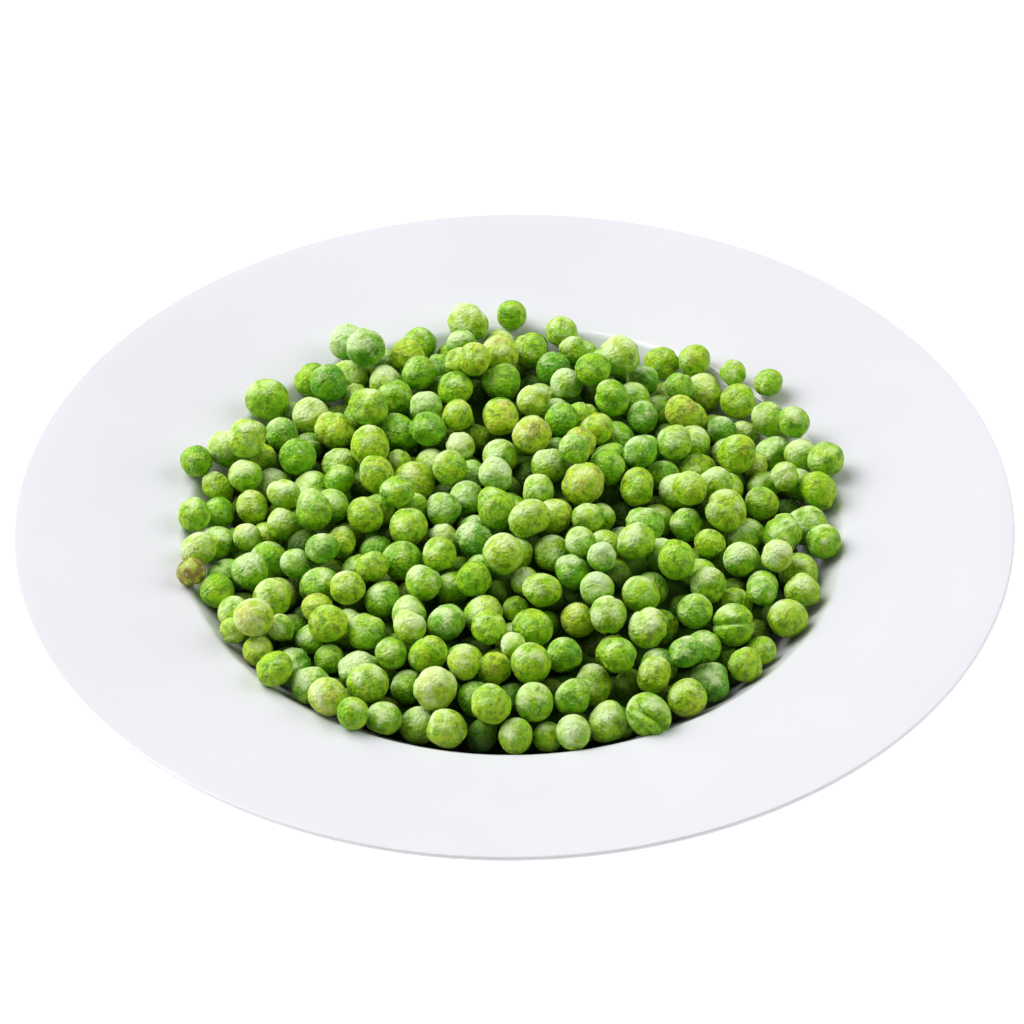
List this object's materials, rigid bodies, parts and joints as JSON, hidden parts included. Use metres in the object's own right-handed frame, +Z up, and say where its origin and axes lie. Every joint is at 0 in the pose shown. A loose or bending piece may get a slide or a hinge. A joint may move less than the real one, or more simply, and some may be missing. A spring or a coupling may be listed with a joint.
{
  "type": "plate of frozen peas",
  "caption": "Wide-rimmed white soup plate with its well heaped with loose frozen garden peas.",
  "frame": {"origin": "centre of the foot ring, on the plane the plate stands on", "axes": "+Z up, out of the well; -Y towards the viewer of the picture"},
  "size_m": [0.24, 0.24, 0.047],
  "materials": {
    "porcelain": "white porcelain with a smooth, clear glaze",
    "pea_skin": "green pea skins under a thin, mottled frost"
  },
  "bodies": {
    "root": {"plate": "porcelain", "pea_heap": "pea_skin"}
  },
  "joints": []
}
